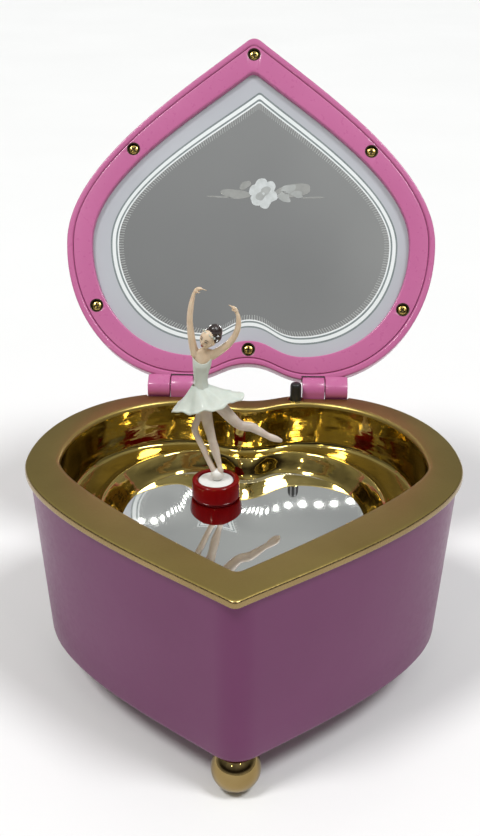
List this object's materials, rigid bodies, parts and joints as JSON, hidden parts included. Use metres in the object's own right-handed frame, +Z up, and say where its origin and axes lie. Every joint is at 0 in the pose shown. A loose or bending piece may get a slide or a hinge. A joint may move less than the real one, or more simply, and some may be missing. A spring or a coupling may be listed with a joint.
{
  "type": "wind-up music box",
  "caption": "Heart-shaped music jewellery box with a hinged mirrored lid, gilt tray, ball feet, clockwork comb movement and a magnetic ballerina that circles on a floor mirror.",
  "frame": {"origin": "on the table under the middle of the whole object with its lid open", "axes": "+Z up, the heart's point towards -Y, the hinges towards +Y, +X to the right seen from the point"},
  "size_m": [0.13, 0.1986, 0.1768],
  "materials": {
    "pink_body": "glossy moulded plastic, mauve pink",
    "pink_lid": "glossy moulded plastic, pink",
    "gilt": "vacuum-gilt plastic, satin on the rim and mirror-bright inside",
    "looking_glass": "silvered glass",
    "printed_glass": "silvered glass with a white printed border and a pale flower",
    "brass": "bright",
    "steel": "plated",
    "zinc": "as cast",
    "black_plastic": "smooth",
    "red_cup": "glossy, dark red",
    "figure_resin": "cast resin, painted cream and white",
    "white_plastic": "smooth",
    "felt": "flocked",
    "magnet": "nickel plated",
    "base_plastic": "matt moulded plastic"
  },
  "bodies": {
    "box": {"body_shell": "pink_body", "base_plate": "base_plastic", "base_screws": "steel", "feet": "gilt", "foot_nuts": "steel", "tray": "gilt", "floor_mirror": "looking_glass", "hinge_pins": "steel", "bedplate": "zinc", "movement_screws": "brass", "spring_housing": "brass", "mainspring": "steel", "comb": "steel", "comb_screws": "brass", "governor_cock": "zinc"},
    "lid": {"lid_shell": "pink_lid", "lid_frame": "pink_lid", "lid_mirror": "printed_glass", "lid_screws": "brass"},
    "stop_pin": {"stop_cap": "black_plastic", "stop_wire": "steel"},
    "winding": {"winding_key": "brass", "arbor": "steel", "crown_wheel": "brass", "magnet_arm": "white_plastic"},
    "drum": {"drum": "brass", "drum_shaft": "steel", "drum_pinion": "steel", "drum_wheel": "brass"},
    "governor": {"governor_worm": "steel", "governor_fan": "white_plastic"},
    "dancer_base": {"drive_magnet": "magnet", "dancer_felt": "felt", "dancer_cup": "red_cup", "dancer_magnet": "magnet", "dancer_disc": "white_plastic"},
    "dancer_figure": {"dancer_ball": "white_plastic", "dancer_figure": "figure_resin"}
  },
  "joints": [
    {"name": "lid_hinge", "type": "hinge", "parent": "box", "child": "lid", "pos_m": [0, 0.02686, 0.0717], "axis": [1, 0, 0], "range_deg": [0, 122]},
    {"name": "winding_turn", "type": "hinge", "parent": "box", "child": "winding", "pos_m": [-0.004, -0.00834, 0.03], "axis": [0, 0, 1], "continuous": true},
    {"name": "drum_turn", "type": "hinge", "parent": "box", "child": "drum", "pos_m": [0.0215, -0.00834, 0.0371], "axis": [1, 0, 0], "continuous": true},
    {"name": "governor_turn", "type": "hinge", "parent": "box", "child": "governor", "pos_m": [0.0326, 0.00096, 0.0371], "axis": [0, 0, 1], "continuous": true},
    {"name": "stop_press", "type": "slide", "parent": "box", "child": "stop_pin", "axis": [0, 0, 1], "range_m": [-0.0058, 0]},
    {"name": "dancer_turn", "type": "hinge", "parent": "winding", "child": "dancer_base", "pos_m": [-0.009, -0.00834, 0.0495], "axis": [0, 0, 1], "continuous": true},
    {"name": "dancer_fold", "type": "hinge", "parent": "dancer_base", "child": "dancer_figure", "pos_m": [-0.0086, -0.00834, 0.0573], "axis": [1, 0, 0], "range_deg": [0, 90]}
  ],
  "couplings": [
    {"joint": "drum_turn", "follows": "winding_turn", "ratio": 3},
    {"joint": "governor_turn", "follows": "winding_turn", "ratio": -66},
    {"joint": "dancer_turn", "follows": "winding_turn", "ratio": -1},
    {"joint": "stop_press", "follows": "lid_hinge", "m_per_rad": -0.00272},
    {"joint": "dancer_fold", "follows": "lid_hinge", "ratio": 0.7375}
  ]
}
